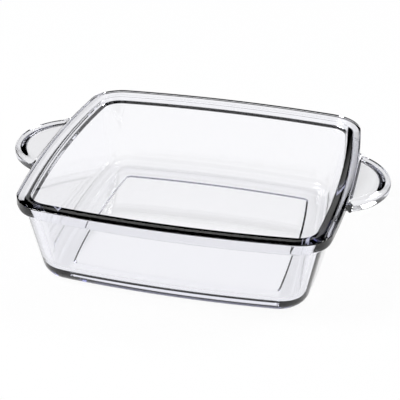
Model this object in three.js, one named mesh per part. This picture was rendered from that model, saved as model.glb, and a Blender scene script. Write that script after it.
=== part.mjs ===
// A square pressed-glass oven dish with a flared wall, a flat rim and two tab handles.
// Millimetres, +Z up. The origin is on the table under the middle of the dish, and the handles lie along X.
// The real dish is a single pressing. Its glass is divided here at the form lines of its mould.
import * as THREE from 'three';

// Overall
const height = 61;
const rimSide = 218; // across the rim's outer faces, at the middle of a side
const rimCornerRadius = 26;
const sideRadius = 730; // the sides bow outwards, this is their radius at the rim's outer face

// Rim: a thin lip on a shoulder that is set back under it
const rimThickness = 8.35; // lip and shoulder together
const rimOverhang = 5.4; // beyond the wall's outer face below it
const rimInnerEdgeRadius = 0.8;
const lipThickness = 5.4;
const lipOverhang = 0.5; // beyond the shoulder
const lipTopEdgeRadius = 0.85;
const lipLowEdgeRadius = 0.2;
const shoulderEdgeRadius = 1.8;
const undersideDegrees = 14; // the shoulder's underside falls towards the wall

// Wall
const wallThickness = 6.1; // measured level
const wallDraftDegrees = 11.1; // from upright
const neckRadius = 0.9; // fillet under the rim
const wallFootCornerRadius = 22; // outer corner where the wall meets the heel

// Base
const floorThickness = 5.4;
const floorFilletRadius = 7.6; // inside, from the floor up to the wall
const heelRadius = 10.8; // outside, from the table up to the wall
const footHeight = 2.2; // depth of the recess inside the foot
const footWidth = 14.2; // of the flat band that touches the table, at the front and back
const footEndWidth = 9.9; // of that band under the handles
const recessCornerRadius = 4;
const recessTaper = 0.9; // the recess narrows upwards by this on each side

// Handles: solid tabs, level with the rim's top, with a hollow underneath for the fingers
const handleReach = 24.7; // the tab's outermost point beyond the rim
const handleRadius = 44; // of its outer edge, seen from above
const handleThickness = 8;
const handleEdgeRadius = 3;
const hollowBorder = 3.2; // between the tab's outer edge and the hollow
const hollowSlope = 6; // width of the slope from the border up to the web
const hollowRootBorder = 1.5; // between the rim and the hollow
const hollowRootSlope = 2;
const webThickness = 4.5; // of the glass over the hollow
const seamGap = 0.3; // between a handle's root and the rim

// Smoothness
const sideSteps = 6;
const cornerSteps = 6;
const filletSteps = 4;
const handleSteps = 40;
const rootSteps = 10;
const hollowSteps = 5;
const leastRadius = 0.6;

// Levels and slopes worked out from the above
const wallDraft = THREE.MathUtils.degToRad(wallDraftDegrees);
const slope = Math.tan(wallDraft);
const underside = THREE.MathUtils.degToRad(undersideDegrees);
const rimHalf = rimSide / 2;
const rimBottom = height - rimThickness;
const lipBottom = height - lipThickness;
const shoulderHalf = rimHalf - lipOverhang;
const shoulderFootHalf = shoulderHalf - shoulderEdgeRadius * (1 - Math.sin(underside));
const floorTop = footHeight + floorThickness;
const wallTopHalf = rimHalf - rimOverhang;
const outerWallHalf = (z) => wallTopHalf - (rimBottom - z) * slope;
const innerWallHalf = (z) => outerWallHalf(z) - wallThickness;

// The heel's arc is tangent to the table and to the wall
const heelCentre = outerWallHalf(heelRadius) - heelRadius / Math.cos(wallDraft);
const heelTop = heelRadius * (1 - Math.sin(wallDraft));

// The wall's outer corners open up from the heel to the rim, and the inner ones run parallel to them
const wallTopCornerRadius = rimCornerRadius - rimOverhang;
function outerCornerRadius(z) {
  const share = (z - heelTop) / (rimBottom - heelTop);
  return THREE.MathUtils.lerp(wallFootCornerRadius, wallTopCornerRadius, share);
}

const glass = new THREE.MeshStandardMaterial({
  color: 0xdfe9ec,
  roughness: 0.04,
  metalness: 0,
  transparent: true,
  opacity: 0.35,
});

// A square with bowed sides and round corners, counter-clockwise, half its width at the middle of a side
function squareOutline(half, cornerRadius) {
  const bowRadius = sideRadius - rimHalf + half;
  const corner = Math.max(cornerRadius, leastRadius);
  const bowCentre = half - bowRadius;
  const reach = 2 * (bowRadius - corner) ** 2 - bowCentre ** 2;
  const cornerCentre = (bowCentre + Math.sqrt(reach)) / 2;
  const turn = Math.atan2(cornerCentre, cornerCentre - bowCentre);
  const side = new THREE.EllipseCurve(bowCentre, 0, bowRadius, bowRadius, -turn, turn);
  const bend = new THREE.EllipseCurve(
    cornerCentre, cornerCentre, corner, corner, turn, Math.PI / 2 - turn,
  );
  const quarter = [...side.getPoints(sideSteps), ...bend.getPoints(cornerSteps).slice(1, -1)];
  const middle = new THREE.Vector2();
  const points = [];
  for (let k = 0; k < 4; k += 1) {
    const angle = k * Math.PI / 2;
    points.push(...quarter.map((point) => point.clone().rotateAround(middle, angle)));
  }
  return points;
}

// The outline at a height, which can be stretched along the line of the handles
function squareRing({ half, z, corner, stretch = 1 }) {
  return squareOutline(half, corner).map((point) => new THREE.Vector3(point.x * stretch, point.y, z));
}

// Skin between rings of equally many points. The ends are capped, or the last ring joins the first.
function loft(rings, joined) {
  const count = rings[0].length;
  const points = rings.flat();
  const faces = [];
  const spans = joined ? rings.length : rings.length - 1;
  for (let k = 0; k < spans; k += 1) {
    const low = k * count;
    const high = ((k + 1) % rings.length) * count;
    for (let i = 0; i < count; i += 1) {
      const next = (i + 1) % count;
      faces.push(low + i, low + next, high + next);
      faces.push(low + i, high + next, high + i);
    }
  }
  if (!joined) {
    const last = (rings.length - 1) * count;
    const lowCentre = points.push(middleOf(rings[0])) - 1;
    const highCentre = points.push(middleOf(rings[rings.length - 1])) - 1;
    for (let i = 0; i < count; i += 1) {
      const next = (i + 1) % count;
      faces.push(lowCentre, next, i);
      faces.push(highCentre, last + i, last + next);
    }
  }
  const geometry = new THREE.BufferGeometry().setFromPoints(points);
  geometry.setIndex(faces);
  geometry.computeVertexNormals();
  return geometry;
}

function middleOf(ring) {
  const sum = ring.reduce((total, point) => total.add(point), new THREE.Vector3());
  return sum.divideScalar(ring.length);
}

// Points of an arc in the section of the dish: x is the half width and y the height
function sectionArc(centreHalf, centreZ, radius, startAngle, endAngle) {
  const clockwise = endAngle < startAngle;
  const arc = new THREE.EllipseCurve(
    centreHalf, centreZ, radius, radius, startAngle, endAngle, clockwise,
  );
  return arc.getPoints(filletSteps).map((point) => ({ half: point.x, z: point.y }));
}

function heelArc(fromZ, toZ) {
  const angleAt = (z) => Math.asin(z / heelRadius - 1);
  return sectionArc(heelCentre, heelRadius, heelRadius, angleAt(fromZ), angleAt(toZ));
}

// Each station keeps a corner parallel to the one that a reference station has
function parallelTo(reference, station) {
  return { ...station, corner: reference.corner - reference.half + station.half };
}

const wallStation = (z) => ({ half: outerWallHalf(z), z, corner: outerCornerRadius(z) });

// The outer face between two heights, round the heel and then straight up the wall
function outerFace(fromZ, toZ) {
  const arcTop = Math.min(toZ, heelTop);
  const heel = fromZ < arcTop
    ? heelArc(fromZ, arcTop).map((station) => parallelTo(wallStation(heelTop), station))
    : [wallStation(fromZ)];
  return toZ > heelTop ? [...heel, wallStation(toZ)] : heel;
}

function footRing() {
  const outer = outerFace(0, footHeight);
  const half = heelCentre - footWidth;
  const stretch = (heelCentre - footEndWidth) / half;
  const mouth = { half, z: 0, corner: recessCornerRadius, stretch };
  const ceiling = parallelTo(mouth, { half: half - recessTaper, z: footHeight, stretch });
  return loft([...outer, ceiling, mouth].map(squareRing), true);
}

function base() {
  return loft(outerFace(footHeight, floorTop).map(squareRing), false);
}

function sideWall() {
  const innerAt = (z) => parallelTo(wallStation(z), { half: innerWallHalf(z), z });

  // The underside slopes down to the wall's line, and a concave fillet touches both
  const fall = Math.tan(underside);
  const meetHalf = (wallTopHalf - slope * fall * shoulderFootHalf) / (1 - slope * fall);
  const meetZ = rimBottom - fall * (shoulderFootHalf - meetHalf);
  const spread = neckRadius / Math.cos(underside + wallDraft);
  const neckCentre = meetHalf + spread * (Math.cos(underside) - Math.sin(wallDraft));
  const neckZ = meetZ + spread * (Math.sin(underside) - Math.cos(wallDraft));
  const neck = sectionArc(
    neckCentre, neckZ, neckRadius, Math.PI - wallDraft, Math.PI / 2 + underside,
  );
  const shoulderFoot = { half: shoulderFootHalf, z: rimBottom };
  const neckStations = [...neck, shoulderFoot].map((station) => parallelTo(wallStation(rimBottom), station));

  // Concave fillet from the floor up to the wall, starting just above the floor
  const filletZ = floorTop + floorFilletRadius;
  const filletCentre = innerWallHalf(filletZ) - floorFilletRadius / Math.cos(wallDraft);
  const start = -Math.PI / 2 + Math.PI / 12;
  const fillet = sectionArc(filletCentre, filletZ, floorFilletRadius, -wallDraft, start);
  const filletReference = innerAt(fillet[0].z);
  const filletStations = fillet.map((station) => parallelTo(filletReference, station));
  const toe = { ...filletStations[filletStations.length - 1], z: floorTop };

  const outside = [...outerFace(floorTop, heelTop), ...neckStations];
  const inside = [innerAt(rimBottom), ...filletStations, toe];
  return loft([...outside, ...inside].map(squareRing), true);
}

function rim() {
  const face = { half: rimHalf, corner: rimCornerRadius };
  const shoulderEdgeZ = rimBottom + shoulderEdgeRadius * Math.cos(underside);
  const shoulder = sectionArc(
    shoulderHalf - shoulderEdgeRadius, shoulderEdgeZ, shoulderEdgeRadius, underside - Math.PI / 2, 0,
  );
  const step = { half: shoulderHalf, z: lipBottom };
  const lipLow = sectionArc(
    rimHalf - lipLowEdgeRadius, lipBottom + lipLowEdgeRadius, lipLowEdgeRadius, -Math.PI / 2, 0,
  );
  const lipTop = sectionArc(
    rimHalf - lipTopEdgeRadius, height - lipTopEdgeRadius, lipTopEdgeRadius, 0, Math.PI / 2,
  );

  const innerZ = height - rimInnerEdgeRadius;
  const innerCentre = innerWallHalf(innerZ) + rimInnerEdgeRadius / Math.cos(wallDraft);
  const inner = sectionArc(
    innerCentre, innerZ, rimInnerEdgeRadius, Math.PI / 2, Math.PI - wallDraft,
  );
  const foot = { half: innerWallHalf(rimBottom), z: rimBottom };

  const section = [...shoulder, step, ...lipLow, ...lipTop, ...inner, foot];
  const stations = section.map((station) => parallelTo(face, station));
  return loft(stations.map(squareRing), true);
}

// The tab on the +X side at a height: an arc for its outer edge, and the rim's bowed face for its root
const tabCentre = new THREE.Vector2(rimHalf + handleReach - handleRadius, 0);
const faceCentre = new THREE.Vector2(rimHalf - sideRadius, 0);
function tabRing({ inset, root, z }) {
  const radius = handleRadius - inset;
  const faceRadius = root - faceCentre.x;
  const corner = meetCircles(tabCentre, radius, faceCentre, faceRadius);
  const turn = corner.clone().sub(tabCentre).angle();
  const faceTurn = corner.clone().sub(faceCentre).angle();
  const edge = new THREE.EllipseCurve(tabCentre.x, 0, radius, radius, -turn, turn);
  const face = new THREE.EllipseCurve(
    faceCentre.x, 0, faceRadius, faceRadius, faceTurn, -faceTurn, true,
  );
  const outline = [...edge.getPoints(handleSteps), ...face.getPoints(rootSteps).slice(1, -1)];
  return outline.map((point) => new THREE.Vector3(point.x, point.y, z));
}

// The crossing of two circles that lies on +Y, with both centres on the X axis
function meetCircles(first, firstRadius, second, secondRadius) {
  const apart = first.x - second.x;
  const x = (apart * apart + secondRadius ** 2 - firstRadius ** 2) / (2 * apart);
  return new THREE.Vector2(second.x + x, Math.sqrt(secondRadius ** 2 - x * x));
}

// How far the tab's rounded outer edge lies inside its widest outline at a height
function edgeInset(z) {
  const low = height - handleThickness + handleEdgeRadius - z;
  const high = z - height + handleEdgeRadius;
  const past = THREE.MathUtils.clamp(Math.max(low, high), 0, handleEdgeRadius);
  return handleEdgeRadius - Math.sqrt(handleEdgeRadius ** 2 - past ** 2);
}

function handle() {
  const bottom = height - handleThickness;
  const web = height - webThickness;

  // The hollow, from the web down its slope to the border
  const hollow = [];
  for (let k = 0; k <= hollowSteps; k += 1) {
    const share = k / hollowSteps;
    const drop = THREE.MathUtils.smoothstep(share, 0, 1);
    hollow.push({
      inset: hollowBorder + hollowSlope * (1 - share),
      root: rimHalf + hollowRootBorder + hollowRootSlope * (1 - share),
      z: THREE.MathUtils.lerp(web, bottom, drop),
    });
  }

  // The outside, which reaches in under the lip as far as the shoulder
  const underLip = lipBottom - seamGap;
  const quarter = sectionArc(0, 0, handleEdgeRadius, 0, Math.PI / 2).map((point) => point.z);
  const lowEdge = quarter.map((rise) => bottom + handleEdgeRadius - rise).reverse();
  const topEdge = quarter.map((rise) => height - handleEdgeRadius + rise);
  const below = [...lowEdge.filter((z) => z < underLip - seamGap), underLip - seamGap];
  const above = [underLip, ...lowEdge.filter((z) => z > underLip), ...topEdge];
  const outside = [
    ...below.map((z) => ({ inset: edgeInset(z), root: shoulderHalf + seamGap, z })),
    ...above.map((z) => ({ inset: edgeInset(z), root: rimHalf + seamGap, z })),
  ];
  return loft([...hollow, ...outside].map(tabRing), false);
}

function namedMesh(name, geometry) {
  const mesh = new THREE.Mesh(geometry, glass.clone());
  mesh.name = name;
  return mesh;
}

const dish = new THREE.Group();
dish.add(namedMesh('foot_ring', footRing()));
dish.add(namedMesh('base', base()));
dish.add(namedMesh('side_wall', sideWall()));
dish.add(namedMesh('rim', rim()));
dish.add(namedMesh('handle_right', handle()));

const handleLeft = namedMesh('handle_left', handle());
handleLeft.rotation.z = Math.PI;
dish.add(handleLeft);

export default dish;
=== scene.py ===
import math

import bpy
import numpy as np
from mathutils import Matrix, Vector
from mathutils.geometry import delaunay_2d_cdt


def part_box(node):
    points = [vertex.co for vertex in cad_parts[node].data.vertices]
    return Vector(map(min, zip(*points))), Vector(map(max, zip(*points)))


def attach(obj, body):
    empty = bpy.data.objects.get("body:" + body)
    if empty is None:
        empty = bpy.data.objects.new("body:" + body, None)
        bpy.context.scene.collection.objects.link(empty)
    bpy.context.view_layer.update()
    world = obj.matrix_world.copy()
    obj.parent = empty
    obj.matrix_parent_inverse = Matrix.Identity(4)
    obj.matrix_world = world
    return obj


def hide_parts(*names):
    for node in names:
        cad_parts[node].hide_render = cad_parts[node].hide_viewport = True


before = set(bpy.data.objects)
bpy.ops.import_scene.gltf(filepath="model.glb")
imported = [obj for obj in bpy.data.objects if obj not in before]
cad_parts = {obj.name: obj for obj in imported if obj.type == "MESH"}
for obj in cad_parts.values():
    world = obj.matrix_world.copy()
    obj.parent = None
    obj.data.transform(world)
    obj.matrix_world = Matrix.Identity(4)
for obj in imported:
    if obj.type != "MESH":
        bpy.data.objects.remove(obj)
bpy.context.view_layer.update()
scene = bpy.context.scene
scene.view_settings.view_transform = "Standard"
mm = 0.001
print("frame loaded, nodes:", sorted(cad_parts))


# The camera stands where the photograph was taken from, and the frame is 400 pixels square
photoCamera = {
    "azimuth": 11.8,  # degrees round from the front, towards the right handle
    "elevation": 27.73,
    "roll": 1.96,
    "distance": 841 * mm,
    "aim": Vector((4.1, -13.9, -25.9)) * mm,  # from the middle of the rim's top
    "focalPixels": 1202,
    "framePixels": 400,
    "sensorWidth": 36,  # in millimetres, as the lens is
    "clipStart": 10 * mm,
}


def makeCamera(rimTop):
    azimuth = math.radians(photoCamera["azimuth"])
    elevation = math.radians(photoCamera["elevation"])
    roll = math.radians(photoCamera["roll"])
    back = Vector((
        math.sin(azimuth) * math.cos(elevation),
        -math.cos(azimuth) * math.cos(elevation),
        math.sin(elevation),
    ))
    right = Vector((0, 0, 1)).cross(back).normalized()
    up = back.cross(right)
    tiltedRight = right * math.cos(roll) + up * math.sin(roll)
    tiltedUp = up * math.cos(roll) - right * math.sin(roll)
    data = bpy.data.cameras.new("photoCamera")
    data.sensor_width = photoCamera["sensorWidth"]
    data.lens = data.sensor_width * photoCamera["focalPixels"] / photoCamera["framePixels"]
    data.clip_start = photoCamera["clipStart"]
    camera = bpy.data.objects.new("photoCamera", data)
    scene.collection.objects.link(camera)
    place = Matrix((tiltedRight, tiltedUp, back)).transposed().to_4x4()
    place.translation = Vector((0, 0, rimTop)) + photoCamera["aim"] + back * photoCamera["distance"]
    camera.matrix_world = place
    scene.camera = camera


rimLow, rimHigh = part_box("rim")
handleLow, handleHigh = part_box("handle_right")
makeCamera(rimHigh.z)
print("camera placed")


# Sizes of the pressed dish that the frame's boxes don't give
dish = {
    "rimCorner": 26 * mm,
    "sideRadius": 730 * mm,  # bow of the sides, at the rim's outer face
    "rimOverhang": 5.4 * mm,  # beyond the wall's outer face
    "rimInnerEdge": 0.8 * mm,
    "crown": 0.24 * mm,  # the rim's top is slightly domed
    "crownSpan": 8.1 * mm,  # width that gives the slope at its edge
    "crownInset": 0.3 * mm,  # it ends this far inside the lip's rounded edge
    "crownSteps": 10,
    "lip": 5.4 * mm,
    "lipTopEdge": 0.85 * mm,
    "lipLowEdge": 0.2 * mm,
    "lipOverhang": 0.5 * mm,  # beyond the shoulder below it
    "lipFillet": 0.15 * mm,
    "shoulderEdge": 1.8 * mm,
    "underside": math.radians(14),  # the shoulder's underside falls towards the wall
    "wall": 6.1 * mm,  # measured level
    "draft": math.radians(11.1),
    "neck": 0.9 * mm,
    "wallFootCorner": 22 * mm,
    "floorFillet": 7.6 * mm,
    "heel": 10.8 * mm,
    "recessHalf": 70.2 * mm,  # front to back
    "recessStretch": 1.06,  # along the line of the handles
    "recessCorner": 4 * mm,
    "recessTaper": 0.9 * mm,
    "recessEdge": 0.3 * mm,
    "recessEdgeSteps": 6,
    "leastCorner": 0.6 * mm,
    "sideSteps": 32,
    "cornerSteps": 20,
    "filletSteps": 10,
    "heelSteps": 20,
    "wallSteps": 10,
    "weld": 1e-5,  # in millimetres, nearer points of a filled area count as one
}

tab = {
    "edgeThickness": 8 * mm,
    "webThickness": 4.5 * mm,  # over the hollow underneath
    "border": 3.2 * mm,  # of full thickness round the hollow
    "hollowSlope": 6 * mm,
    "rootStart": 0.6 * mm,  # the lip's underside starts to rise to the web this far inside its edge
    "rootSlope": 2 * mm,
    "outerRadius": 44 * mm,
    "flank": math.radians(58),
    "rootFillet": 4 * mm,
    "topEdge": 3 * mm,
    "lowEdge": 3 * mm,
    "blend": 4 * mm,  # over which the lip's edges turn into the tab's
    "step": 1.2 * mm,  # between points along an edge
    "turnStep": math.radians(7),
    "leastArcSteps": 3,
    "edgeSteps": 10,
    "gridStep": 0.7 * mm,
    "gridClearance": 0.4,  # from the edge, in grid steps
    "nudge": 0.05 * mm,  # over which the hollow's slope is measured
}

rimHalf = rimHigh.y
height = rimHigh.z
rimBottom = rimLow.z
brimTop = height - dish["crown"]
lipBottom = height - dish["lip"]
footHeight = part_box("foot_ring")[1].z
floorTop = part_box("base")[1].z
slope = math.tan(dish["draft"])
crownTilt = math.atan(4 * dish["crown"] / dish["crownSpan"])


def outerWallHalf(z):
    return rimHalf - dish["rimOverhang"] - (rimBottom - z) * slope


def innerWallHalf(z):
    return outerWallHalf(z) - dish["wall"]


heelCentre = outerWallHalf(dish["heel"]) - dish["heel"] / math.cos(dish["draft"])
heelTop = dish["heel"] * (1 - math.sin(dish["draft"]))


def wallCorner(z):
    share = (z - heelTop) / (rimBottom - heelTop)
    top = dish["rimCorner"] - dish["rimOverhang"]
    return dish["wallFootCorner"] * (1 - share) + top * share


def bowOf(half, corner):
    # centre and radius of a bowed side, centre of a corner, and the angle where they join
    radius = dish["sideRadius"] - rimHalf + half
    centre = half - radius
    reach = 2 * (radius - corner) ** 2 - centre ** 2
    cornerCentre = (centre + math.sqrt(reach)) / 2
    return centre, radius, cornerCentre, math.atan2(cornerCentre, cornerCentre - centre)


def squareRing(station, stretch=1):
    half, z, corner = station
    corner = max(corner, dish["leastCorner"])
    centre, radius, cornerCentre, turn = bowOf(half, corner)
    along = np.linspace(-turn, turn, dish["sideSteps"] + 1)
    bend = np.linspace(turn, math.pi / 2 - turn, dish["cornerSteps"] + 1)[1:-1]
    x = np.concatenate([centre + radius * np.cos(along), cornerCentre + corner * np.cos(bend)])
    y = np.concatenate([radius * np.sin(along), cornerCentre + corner * np.sin(bend)])
    quarters = [(x, y), (-y, x), (-x, -y), (y, -x)]
    plan = np.concatenate([np.stack(q, axis=1) for q in quarters]) * (stretch, 1)
    return np.column_stack([plan, np.full(len(plan), z)])


def sectionArc(half, z, radius, start, end, steps):
    angles = np.linspace(start, end, steps + 1)
    return [(half + radius * math.cos(a), z + radius * math.sin(a)) for a in angles]


def parallelTo(half, corner, points):
    # corners stay parallel to a reference outline
    return [(p[0], p[1], corner - half + p[0]) for p in points]


def within(points, ring):
    # which points lie inside a closed row, by counting crossings
    ax, ay = ring.T
    bx, by = np.roll(ring, -1, axis=0).T
    x, y = points[:, :1], points[:, 1:2]
    spans = (ay > y) != (by > y)
    rise = np.where(by == ay, 1, by - ay)
    crossings = spans & (x < ax + (y - ay) * (bx - ax) / rise)
    return crossings.sum(axis=1) % 2 == 1


class GlassSkin:
    def __init__(self):
        self.points, self.normals, self.faces = [], [], []
        self.count = 0

    def add(self, points, normals):
        first = self.count
        self.points.append(np.asarray(points, float))
        self.normals.append(np.asarray(normals, float))
        self.count += len(points)
        return np.arange(first, self.count)

    def bridge(self, rows):
        # quads between successive closed rows of points, which run down the outside or up the inside
        for a, b in zip(rows[:-1], rows[1:]):
            quads = np.stack([b, np.roll(b, -1), np.roll(a, -1), a], axis=1)
            self.faces += quads.tolist()

    def fill(self, loops, up, spots=()):
        # an area bounded by closed rows of points, the first one outside, with loose points inside it
        plan = np.concatenate(self.points)[:, :2] / mm
        index = np.concatenate([*loops, np.asarray(spots, int)])
        edges, first = [], 0
        for row in loops:
            edges += [(first + i, first + (i + 1) % len(row)) for i in range(len(row))]
            first += len(row)
        enclosed = 1  # keeps the triangles inside the outer row, also those in holes
        flat = delaunay_2d_cdt([Vector(plan[i]) for i in index], edges, [], enclosed, dish["weld"])
        corners = np.array([[index[flat[3][i][0]] for i in triangle] for triangle in flat[2]])
        middles = plan[corners].mean(axis=1)
        for row in loops[1:]:
            outside = ~within(middles, plan[row])
            corners, middles = corners[outside], middles[outside]
        self.faces += (corners if up else corners[:, ::-1]).tolist()

    def mesh(self, name):
        data = bpy.data.meshes.new(name)
        data.from_pydata(np.concatenate(self.points).tolist(), [], self.faces)
        data.polygons.foreach_set("use_smooth", np.ones(len(data.polygons), bool))
        data.normals_split_custom_set_from_vertices(np.concatenate(self.normals).tolist())
        data.validate()
        piece = bpy.data.objects.new(name, data)
        scene.collection.objects.link(piece)
        return piece


def ringRows(skin, rings, firstZ, lastZ):
    # normals come from the grid of points, and an end with a sign faces straight up or down
    p = np.stack(rings)
    around = np.roll(p, -1, axis=1) - np.roll(p, 1, axis=1)
    along = np.empty_like(p)
    along[1:-1] = p[2:] - p[:-2]
    along[0] = p[1] - p[0]
    along[-1] = p[-1] - p[-2]
    n = np.cross(along, around)
    n /= np.linalg.norm(n, axis=2, keepdims=True)
    n[0] = (0, 0, firstZ)
    if lastZ:
        n[-1] = (0, 0, lastZ)
    rows = [skin.add(ring, normals) for ring, normals in zip(rings, n)]
    skin.bridge(rows)
    return rows


def arcPlan(centre, radius, start, end, side):
    # points of an arc seen from above with normals, without its last point
    swing = abs(end - start)
    steps = math.ceil(max(radius * swing / tab["step"], swing / tab["turnStep"]))
    steps = max(steps, tab["leastArcSteps"])
    angle = np.linspace(start, end, steps + 1)[:-1]
    outward = np.stack([np.cos(angle), np.sin(angle)], axis=1)
    return np.asarray(centre) + radius * outward, side * outward


def linePlan(start, end):
    start, end = np.asarray(start), np.asarray(end)
    length = np.linalg.norm(end - start)
    steps = max(1, math.ceil(length / tab["step"]))
    share = np.linspace(0, 1, steps + 1)[:-1, None]
    along = (end - start) / length
    normal = np.array([along[1], -along[0]])
    return start + (end - start) * share, np.tile(normal, (steps, 1))


def joinPlan(parts):
    return np.concatenate([p[0] for p in parts]), np.concatenate([p[1] for p in parts])


def lipPlan():
    # the lip's outer edge with both handles, counter-clockwise
    centre, radius, cornerCentre, turn = bowOf(rimHalf, dish["rimCorner"])
    face = np.array([centre, 0.0])
    mirror = np.array([1, -1])

    middle = np.array([handleHigh.x - tab["outerRadius"], 0.0])
    flank = tab["flank"]
    across = np.array([math.cos(flank), math.sin(flank)])
    along = np.array([-across[1], across[0]])
    root = tab["rootFillet"]
    start = middle + across * (tab["outerRadius"] + root) - face
    reach = start @ along
    travel = -reach - math.sqrt(reach ** 2 - start @ start + (radius + root) ** 2)
    rootCentre = face + start + along * travel
    rootTurn = math.atan2(rootCentre[1], rootCentre[0] - centre)
    flankEnd = rootCentre - across * root
    flankStart = middle + across * tab["outerRadius"]
    bend = dish["rimCorner"]

    halves = []
    for way in (1, -1):
        points, normals = joinPlan([
            arcPlan(face, radius, -turn, -rootTurn, 1),
            arcPlan(rootCentre * mirror, root, math.pi - rootTurn, math.pi - flank, -1),
            linePlan(flankEnd * mirror, flankStart * mirror),
            arcPlan(middle, tab["outerRadius"], -flank, flank, 1),
            linePlan(flankStart, flankEnd),
            arcPlan(rootCentre, root, flank + math.pi, rootTurn + math.pi, -1),
            arcPlan(face, radius, rootTurn, turn, 1),
            arcPlan((cornerCentre, cornerCentre), bend, turn, math.pi / 2 - turn, 1),
            arcPlan((0, centre), radius, math.pi / 2 - turn, math.pi / 2 + turn, 1),
            arcPlan((-cornerCentre, cornerCentre), bend, math.pi / 2 + turn, math.pi - turn, 1),
        ])
        halves.append((points * way, normals * way))
    return joinPlan(halves)


def smooth(share):
    share = np.clip(share, 0, 1)
    return share * share * (3 - 2 * share)


def tabShare(x):
    # 0 on the rim, 1 on a handle
    return smooth((np.abs(x) - rimHalf) / tab["blend"])


def gapTo(points, ring):
    # distance of each point from a closed row
    along = np.roll(ring, -1, axis=0) - ring
    offset = points[:, None] - ring[None]
    share = (offset * along).sum(axis=2) / (along * along).sum(axis=1)
    nearest = offset - np.clip(share, 0, 1)[:, :, None] * along
    return np.linalg.norm(nearest, axis=2).min(axis=1)


def underside(points, ring):
    # the handles are thickest along their edge, round a hollow
    border = 1 - smooth((gapTo(points, ring) - tab["border"]) / tab["hollowSlope"])
    deep = tab["webThickness"] + (tab["edgeThickness"] - tab["webThickness"]) * border
    out = smooth((np.abs(points[:, 0]) - rimHalf + tab["rootStart"]) / tab["rootSlope"])
    return lipBottom - (deep - dish["lip"]) * out


def undersidePoints(skin, plan, facing, ring, rise):
    # normals follow the hollow's slope
    nudge = tab["nudge"]
    tilts = []
    for step in np.eye(2) * nudge:
        climb = underside(plan + step, ring) - underside(plan - step, ring)
        tilts.append(climb / (2 * nudge))
    bent = facing - np.column_stack(tilts + [np.zeros(len(plan))]) * facing[:, 2:]
    bent /= np.linalg.norm(bent, axis=1, keepdims=True)
    return skin.add(np.column_stack([plan, underside(plan, ring) + rise]), bent)


def edgeRows(skin, plan):
    # from the level top round the edge to the underside, rounder on a handle than on the rim
    points, normals = plan
    share = tabShare(points[:, 0])
    top = dish["lipTopEdge"] + (tab["topEdge"] - dish["lipTopEdge"]) * share
    low = dish["lipLowEdge"] + (tab["lowEdge"] - dish["lipLowEdge"]) * share
    quarter = np.linspace(math.pi / 2, 0, tab["edgeSteps"] + 1)
    level = math.pi / 2 - crownTilt * (1 - share)  # the domed rim leans out where its edge begins
    rows = []
    for a in quarter:
        place = points + normals * (top * (math.cos(a) - 1))[:, None]
        lean = np.minimum(a, level)
        facing = np.column_stack([normals * np.cos(lean)[:, None], np.sin(lean)])
        rows.append(skin.add(np.column_stack([place, brimTop - top * (1 - math.sin(a))]), facing))
    for a in quarter[::-1]:
        place = points + normals * (low * (math.cos(a) - 1))[:, None]
        facing = np.column_stack([normals * math.cos(a), np.full(len(points), -math.sin(a))])
        rows.append(undersidePoints(skin, place, facing, points, low * (1 - math.sin(a))))
    skin.bridge(rows)
    return rows


def hollowSpots(skin, plan, lowRow):
    # a grid of loose points over both handles' undersides
    edge = np.concatenate(skin.points)[lowRow][:, :2]
    step = tab["gridStep"]
    x = np.arange(rimHalf - tab["rootStart"], handleHigh.x, step)
    y = np.arange(handleLow.y, handleHigh.y, step)
    grid = np.stack(np.meshgrid(np.concatenate([-x[::-1], x]), y), axis=-1).reshape(-1, 2)
    grid = grid[within(grid, edge)]
    grid = grid[gapTo(grid, edge) > tab["gridClearance"] * step]
    down = np.tile((0.0, 0.0, -1.0), (len(grid), 1))
    return undersidePoints(skin, grid, down, plan[0], 0)


def insideStations():
    # floor fillet, wall, the rim's inner edge and its domed top, from the floor up
    draft = dish["draft"]
    steps = dish["filletSteps"]
    filletZ = floorTop + dish["floorFillet"]
    filletHalf = innerWallHalf(filletZ) - dish["floorFillet"] / math.cos(draft)
    fillet = sectionArc(filletHalf, filletZ, dish["floorFillet"], -math.pi / 2, -draft, steps)
    edge = dish["rimInnerEdge"]
    edgeHalf = innerWallHalf(brimTop - edge) + edge / math.cos(draft)
    brim = sectionArc(edgeHalf, brimTop - edge, edge, math.pi - draft, math.pi / 2, steps)
    levels = np.linspace(fillet[-1][1], brim[0][1], dish["wallSteps"] + 1)
    wall = [(innerWallHalf(z), z, wallCorner(z) - dish["wall"]) for z in levels]
    low, high = wall[0], wall[-1]
    edges = parallelTo(high[0], high[2], brim[1:])

    # the crown ends just inside the lip's rounded outer edge
    inset = dish["lipTopEdge"] + dish["crownInset"]
    end = np.array([rimHalf - inset, dish["rimCorner"] - inset])
    start = np.array([edges[-1][0], edges[-1][2]])
    crown = []
    for share in np.linspace(0, 1, dish["crownSteps"] + 1)[1:]:
        half, corner = start + (end - start) * share
        crown.append((half, brimTop + dish["crown"] * 4 * share * (1 - share), corner))
    return parallelTo(low[0], low[2], fillet[:-1]) + wall + edges + crown


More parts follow.
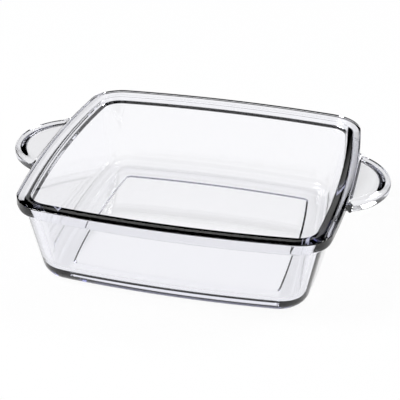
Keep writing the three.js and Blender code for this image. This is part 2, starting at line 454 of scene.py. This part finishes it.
def outsideStations():
    # shoulder under the lip, its underside, neck, wall and heel, from the lip down to the table
    draft, tilt = dish["draft"], dish["underside"]
    steps = dish["filletSteps"]
    half = rimHalf - dish["lipOverhang"]
    soft = dish["lipFillet"]
    edge = dish["shoulderEdge"]
    step = sectionArc(half + soft, lipBottom - soft, soft, math.pi / 2, math.pi, steps)
    edgeZ = rimBottom + edge * math.cos(tilt)
    shoulder = sectionArc(half - edge, edgeZ, edge, 0, tilt - math.pi / 2, steps)

    # the underside's line meets the wall's line, and the neck fillet touches both
    startHalf = shoulder[-1][0]
    fall = math.tan(tilt)
    wallTop = outerWallHalf(rimBottom)
    meetHalf = (wallTop - slope * fall * startHalf) / (1 - slope * fall)
    meetZ = rimBottom - fall * (startHalf - meetHalf)
    neck = dish["neck"]
    spread = math.cos(tilt + draft)
    neckHalf = meetHalf + neck * (math.cos(tilt) - math.sin(draft)) / spread
    neckZ = meetZ + neck * (math.sin(tilt) - math.cos(draft)) / spread
    neckArc = sectionArc(neckHalf, neckZ, neck, math.pi / 2 + tilt, math.pi - draft, steps)

    heel = sectionArc(heelCentre, dish["heel"], dish["heel"], -draft, -math.pi / 2, dish["heelSteps"])
    levels = np.linspace(neckArc[-1][1], heelTop, dish["wallSteps"] + 1)
    wall = [(outerWallHalf(z), z, wallCorner(z)) for z in levels]
    high, low = (wallTop, rimBottom, wallCorner(rimBottom)), wall[-1]
    upper = parallelTo(high[0], high[2], step + shoulder + neckArc[:-1])
    return upper + wall + parallelTo(low[0], low[2], heel[1:])


def recessStations():
    # the recess under the floor, from the table up
    half, taper, soft = dish["recessHalf"], dish["recessTaper"], dish["recessEdge"]
    steps = dish["recessEdgeSteps"]
    lower = sectionArc(half + soft, soft, soft, -math.pi / 2, -math.pi, steps)
    upper = sectionArc(half - taper - soft, footHeight - soft, soft, 0, math.pi / 2, steps)
    return parallelTo(half, dish["recessCorner"], lower + upper)


def makeDish():
    skin = GlassSkin()
    inside = ringRows(skin, [squareRing(s) for s in insideStations()], firstZ=1, lastZ=0)
    skin.fill([inside[0]], up=True)

    # the lip and both handles are one flange
    plan = lipPlan()
    edge = edgeRows(skin, plan)
    skin.fill([edge[0], inside[-1]], up=True)
    outside = ringRows(skin, [squareRing(s) for s in outsideStations()], firstZ=-1, lastZ=-1)
    spots = hollowSpots(skin, plan, edge[-1])
    skin.fill([edge[-1], outside[0]], up=False, spots=spots)

    stretch = dish["recessStretch"]
    rings = [squareRing(s, stretch) for s in recessStations()]
    recess = ringRows(skin, rings, firstZ=-1, lastZ=-1)
    skin.bridge([outside[-1], recess[0]])
    skin.fill([recess[-1]], up=False)
    return skin.mesh("pressed_glass_dish")


glassDish = makeDish()
print("glass pressed, faces:", len(glassDish.data.polygons))


class Wire:
    # wraps a shader socket, so that maths on values reads as Python
    def __init__(self, tree, socket=None):
        self.tree, self.socket = tree, socket

    def node(self, kind, settings=None, inputs=None):
        made = self.tree.nodes.new(kind)
        for name, value in (settings or {}).items():
            setattr(made, name, value)
        for name, value in (inputs or {}).items():
            if isinstance(value, Wire):
                self.tree.links.new(value.socket, made.inputs[name])
            else:
                made.inputs[name].default_value = value
        return Wire(self.tree, made.outputs[0] if made.outputs else None)

    def other(self, name):
        return Wire(self.tree, self.socket.node.outputs[name])

    def maths(self, operation, first, second):
        return self.node("ShaderNodeMath", {"operation": operation}, {0: first, 1: second})

    def __add__(self, value):
        return self.maths("ADD", self, value)

    __radd__ = __add__

    def __mul__(self, value):
        return self.maths("MULTIPLY", self, value)

    __rmul__ = __mul__

    def __sub__(self, value):
        return self.maths("SUBTRACT", self, value)

    def __rsub__(self, value):
        return self.maths("SUBTRACT", value, self)


def emptyTree(owner):
    owner.use_nodes = True
    owner.node_tree.nodes.clear()
    return Wire(owner.node_tree)


glassFinish = {
    "ior": 1.52,
    "tint": (0.1, 0.13, 0.6, 1),
    "density": 7.0,
    "waveScale": 22.0,  # waves to a metre
    "waveDetail": 1.0,
    "waveHeight": 0.02 * mm,
    "leastRoughness": 0.0,
    "mostRoughness": 0.012,
    "blurScale": 60.0,
}


def clearGlass():
    material = bpy.data.materials.new("clearGlass")
    wire = emptyTree(material)
    place = wire.node("ShaderNodeTexCoord").other("Object")
    wave = wire.node("ShaderNodeTexNoise", None, {
        "Vector": place,
        "Scale": glassFinish["waveScale"],
        "Detail": glassFinish["waveDetail"],
    })
    bump = wire.node("ShaderNodeBump", None, {
        "Height": wave,
        "Strength": 1.0,
        "Distance": glassFinish["waveHeight"],
    })
    blur = wire.node("ShaderNodeTexNoise", None, {"Vector": place, "Scale": glassFinish["blurScale"]})
    spread = glassFinish["mostRoughness"] - glassFinish["leastRoughness"]
    shader = wire.node("ShaderNodeBsdfPrincipled", None, {
        "Base Color": (1, 1, 1, 1),
        "Roughness": blur * spread + glassFinish["leastRoughness"],
        "IOR": glassFinish["ior"],
        "Transmission Weight": 1.0,
        "Normal": bump,
    })
    volume = wire.node("ShaderNodeVolumeAbsorption", None, {
        "Color": glassFinish["tint"],
        "Density": glassFinish["density"],
    })
    wire.node("ShaderNodeOutputMaterial", None, {"Surface": shader, "Volume": volume})
    return material


glassDish.data.materials.append(clearGlass())
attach(glassDish, "root")
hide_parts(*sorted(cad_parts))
print("glass finished")


studio = {
    "floorSize": 10.0,
    "floorDrop": 0.2 * mm,
    "floorGlow": 0.94,
    "floorPaint": (0.92, 0.92, 0.94, 1),
    "whiteBelow": 0.05,  # heights of a direction, where 1 is straight up
    "darkFrom": 0.06,
    "darkTo": 0.80,
    "brightFrom": 0.82,
    "belowLevel": 1.0,
    "brightLevel": 0.85,
    "backdropSides": (-0.30, -0.10),  # the bright backdrop behind, as shares of a direction
    "backdropHeights": (0.43, 0.55),
    "backdropFade": 0.02,
    "backdropLevel": 0.85,
}


def makeFloor():
    data = bpy.data.meshes.new("studioFloor")
    half = studio["floorSize"] / 2
    corners = [(-half, -half, 0), (half, -half, 0), (half, half, 0), (-half, half, 0)]
    data.from_pydata(corners, [], [(0, 1, 2, 3)])
    floor = bpy.data.objects.new("studioFloor", data)
    floor.location.z = -studio["floorDrop"]
    scene.collection.objects.link(floor)
    material = bpy.data.materials.new("whiteFloor")
    wire = emptyTree(material)
    seen = wire.node("ShaderNodeLightPath").other("Is Camera Ray")
    glass = seen.maths("MAXIMUM", seen.other("Is Glossy Ray"), seen.other("Is Transmission Ray"))
    share = seen.maths("MAXIMUM", seen, glass) * studio["floorGlow"]
    paint = wire.node("ShaderNodeBsdfDiffuse", None, {"Color": studio["floorPaint"]})
    glow = wire.node("ShaderNodeEmission", None, {"Color": (1, 1, 1, 1), "Strength": 1.0})
    mix = wire.node("ShaderNodeMixShader", None, {0: share, 1: paint, 2: glow})
    wire.node("ShaderNodeOutputMaterial", None, {"Surface": mix})
    data.materials.append(material)


def makeWorld():
    world = bpy.data.worlds.new("studio")
    scene.world = world
    wire = emptyTree(world)
    across = wire.node("ShaderNodeSeparateXYZ", None, {"Vector": wire.node("ShaderNodeTexCoord")})
    along, up = across.other("Y"), across.other("Z")
    fade = studio["backdropFade"]

    def ramp(value, start, end, low, high):
        return wire.node("ShaderNodeMapRange", None, {
            "Value": value,
            "From Min": start,
            "From Max": end,
            "To Min": low,
            "To Max": high,
        })

    below = ramp(up, studio["whiteBelow"], studio["darkFrom"], studio["belowLevel"], 0)
    ceiling = ramp(up, studio["darkTo"], studio["brightFrom"], 0, studio["brightLevel"])
    left, right = studio["backdropSides"]
    low, high = studio["backdropHeights"]
    backdrop = ramp(along, 0, fade, 0, studio["backdropLevel"])
    backdrop = backdrop * ramp(across, left - fade, left, 0, 1) * ramp(across, right, right + fade, 1, 0)
    backdrop = backdrop * ramp(up, low - fade, low, 0, 1) * ramp(up, high, high + fade, 1, 0)
    sky = below + ceiling.maths("MAXIMUM", ceiling, backdrop)
    back = wire.node("ShaderNodeBackground", None, {"Color": (1, 1, 1, 1), "Strength": sky})
    wire.node("ShaderNodeOutputWorld", None, {"Surface": back})


softboxes = {
    "keySoftbox": {"place": (-1.2, -0.6, 1.6), "size": (0.9, 0.9), "power": 30},
    "fillSoftbox": {"place": (1.4, 0.9, 1.5), "size": (0.8, 0.8), "power": 20},
}


def areaLamp(name, place, size, power):
    data = bpy.data.lights.new(name, "AREA")
    data.shape = "RECTANGLE"
    data.size, data.size_y = size
    data.energy = power
    lamp = bpy.data.objects.new(name, data)
    lamp.location = place
    lamp.rotation_euler = (-Vector(place)).to_track_quat("-Z", "Y").to_euler()
    scene.collection.objects.link(lamp)


makeFloor()
makeWorld()
for name, lamp in softboxes.items():
    areaLamp(name, lamp["place"], lamp["size"], lamp["power"])
print("studio lit")
